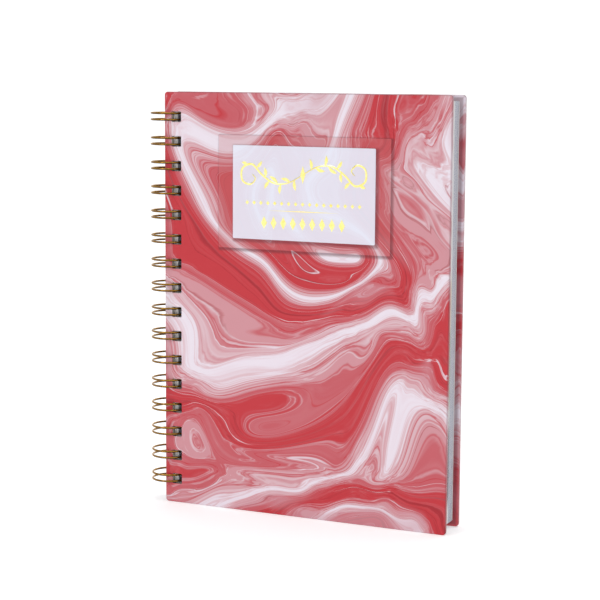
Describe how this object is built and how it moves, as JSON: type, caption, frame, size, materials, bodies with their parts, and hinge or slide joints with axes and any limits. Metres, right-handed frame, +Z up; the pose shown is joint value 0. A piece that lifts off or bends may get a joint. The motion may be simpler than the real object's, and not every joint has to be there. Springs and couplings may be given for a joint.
{
  "type": "wire-bound planner",
  "caption": "Hardcover planner with twin-loop wire binding, marbled covers that swing open, and page sections that turn on the wire.",
  "frame": {"origin": "centre of the bounding box at the foot of the covers, on the surface the planner stands on", "axes": "+Z up along the spine, -Y out of the front cover, +Y out of the back cover, +X from the wire binding to the fore-edge"},
  "size_m": [0.1694, 0.0246, 0.216],
  "materials": {
    "marbled_wrap": "gloss laminated print",
    "greyboard": "matt",
    "endpaper": "matt",
    "page_paper": "matt",
    "panel_print": "satin",
    "card_print": "satin",
    "gold_foil": "bright stamped foil",
    "gold_wire": "polished"
  },
  "bodies": {
    "back_cover": {"back_cover_wrap": "marbled_wrap", "back_cover_board": "greyboard", "back_endpaper": "endpaper", "twin_loop_wire": "gold_wire"},
    "rear_pages": {"notes_pages": "page_paper", "month_12_pages": "page_paper", "month_11_pages": "page_paper", "month_10_pages": "page_paper", "month_09_pages": "page_paper", "month_08_pages": "page_paper", "month_07_pages": "page_paper"},
    "front_pages": {"month_06_pages": "page_paper", "month_05_pages": "page_paper", "month_04_pages": "page_paper", "month_03_pages": "page_paper", "month_02_pages": "page_paper", "month_01_pages": "page_paper", "title_leaf": "page_paper"},
    "front_cover": {"front_cover_wrap": "marbled_wrap", "front_cover_board": "greyboard", "front_endpaper": "endpaper", "title_panel": "panel_print", "title_card": "card_print", "title_foil": "gold_foil"}
  },
  "joints": [
    {"name": "rear_pages_turn", "type": "hinge", "parent": "back_cover", "child": "rear_pages", "pos_m": [-0.07476, 0.00224, 0.108], "axis": [0, 0, -1], "range_deg": [0, 180]},
    {"name": "front_pages_turn", "type": "hinge", "parent": "rear_pages", "child": "front_pages", "pos_m": [-0.07476, 0.00224, 0.108], "axis": [0, 0, -1], "range_deg": [0, 180]},
    {"name": "front_cover_swing", "type": "hinge", "parent": "front_pages", "child": "front_cover", "pos_m": [-0.07476, 0.00224, 0.108], "axis": [0, 0, -1], "range_deg": [-2.7, 177.3]}
  ]
}
